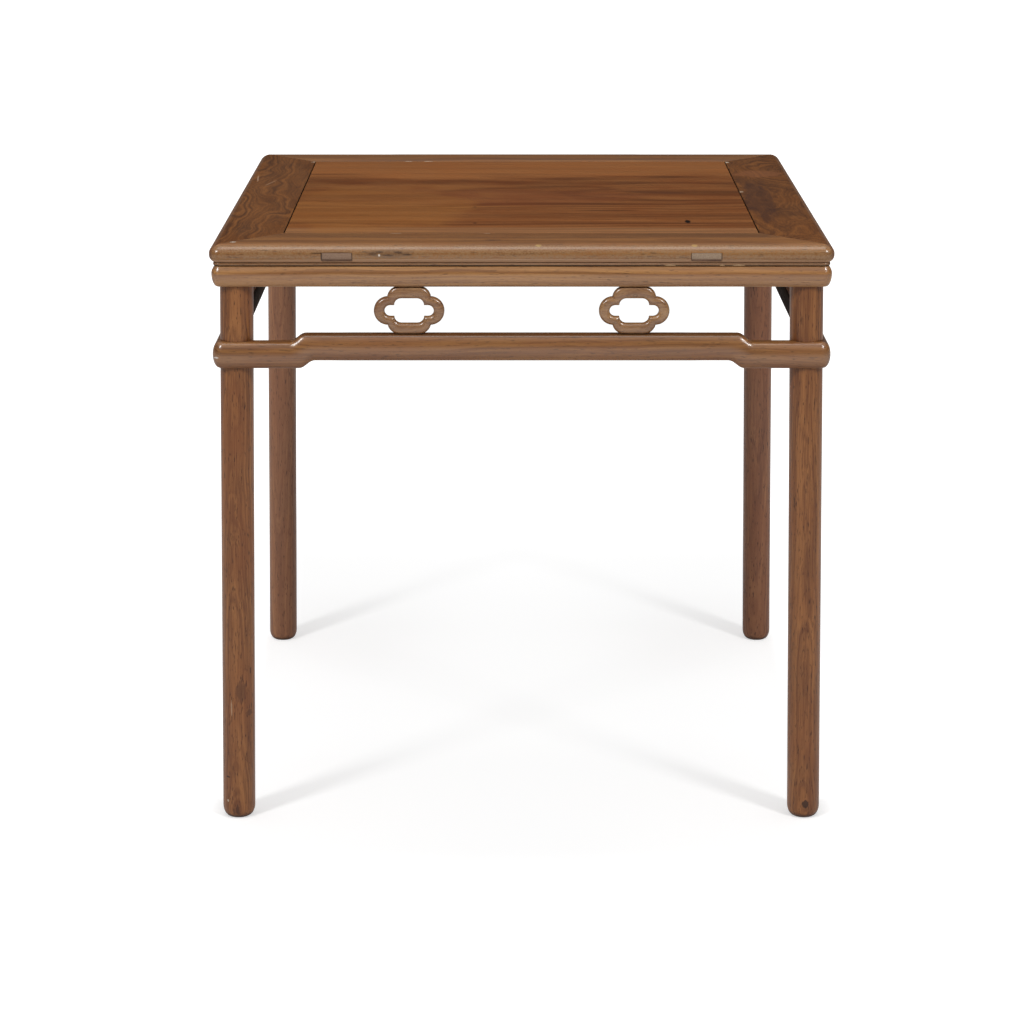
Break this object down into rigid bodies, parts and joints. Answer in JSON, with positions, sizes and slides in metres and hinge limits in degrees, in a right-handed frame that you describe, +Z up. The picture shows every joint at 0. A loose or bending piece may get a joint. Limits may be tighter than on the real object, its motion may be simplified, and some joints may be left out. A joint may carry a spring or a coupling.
{
  "type": "chinese eight immortals table",
  "caption": "Square wooden dining table with a framed panel top, humpback stretchers that wrap round splayed round legs, and pierced quatrefoil struts.",
  "frame": {"origin": "on the floor under the middle of the top", "axes": "+Z up, -Y the front side, where the ends of the battens' through tenons show, +X to the right as seen from the front"},
  "size_m": [0.9022, 0.9022, 0.875],
  "materials": {
    "panel_wood": "waxed hardwood board, orange brown, fine grain",
    "frame_wood": "waxed hardwood, mid brown, worn edges",
    "moulding_wood": "waxed hardwood, light orange brown",
    "leg_wood": "waxed hardwood, mid brown, streaked along the leg",
    "stretcher_wood": "waxed hardwood, mid brown",
    "inner_wood": "unfinished darkened hardwood"
  },
  "bodies": {
    "root": {"top_panel": "panel_wood", "batten_left": "inner_wood", "batten_middle": "inner_wood", "batten_right": "inner_wood", "frame_front_rail": "frame_wood", "frame_back_rail": "frame_wood", "frame_left_rail": "frame_wood", "frame_right_rail": "frame_wood", "moulding_front": "moulding_wood", "moulding_back": "moulding_wood", "moulding_left": "moulding_wood", "moulding_right": "moulding_wood", "stretcher_front": "stretcher_wood", "stretcher_back": "stretcher_wood", "stretcher_left": "stretcher_wood", "stretcher_right": "stretcher_wood", "struts_front": "stretcher_wood", "struts_back": "stretcher_wood", "struts_left": "stretcher_wood", "struts_right": "stretcher_wood", "leg_front_left": "leg_wood", "leg_front_right": "leg_wood", "leg_back_left": "leg_wood", "leg_back_right": "leg_wood", "strut_loose_tenons": "inner_wood", "moulding_loose_tenons": "inner_wood"}
  },
  "joints": []
}
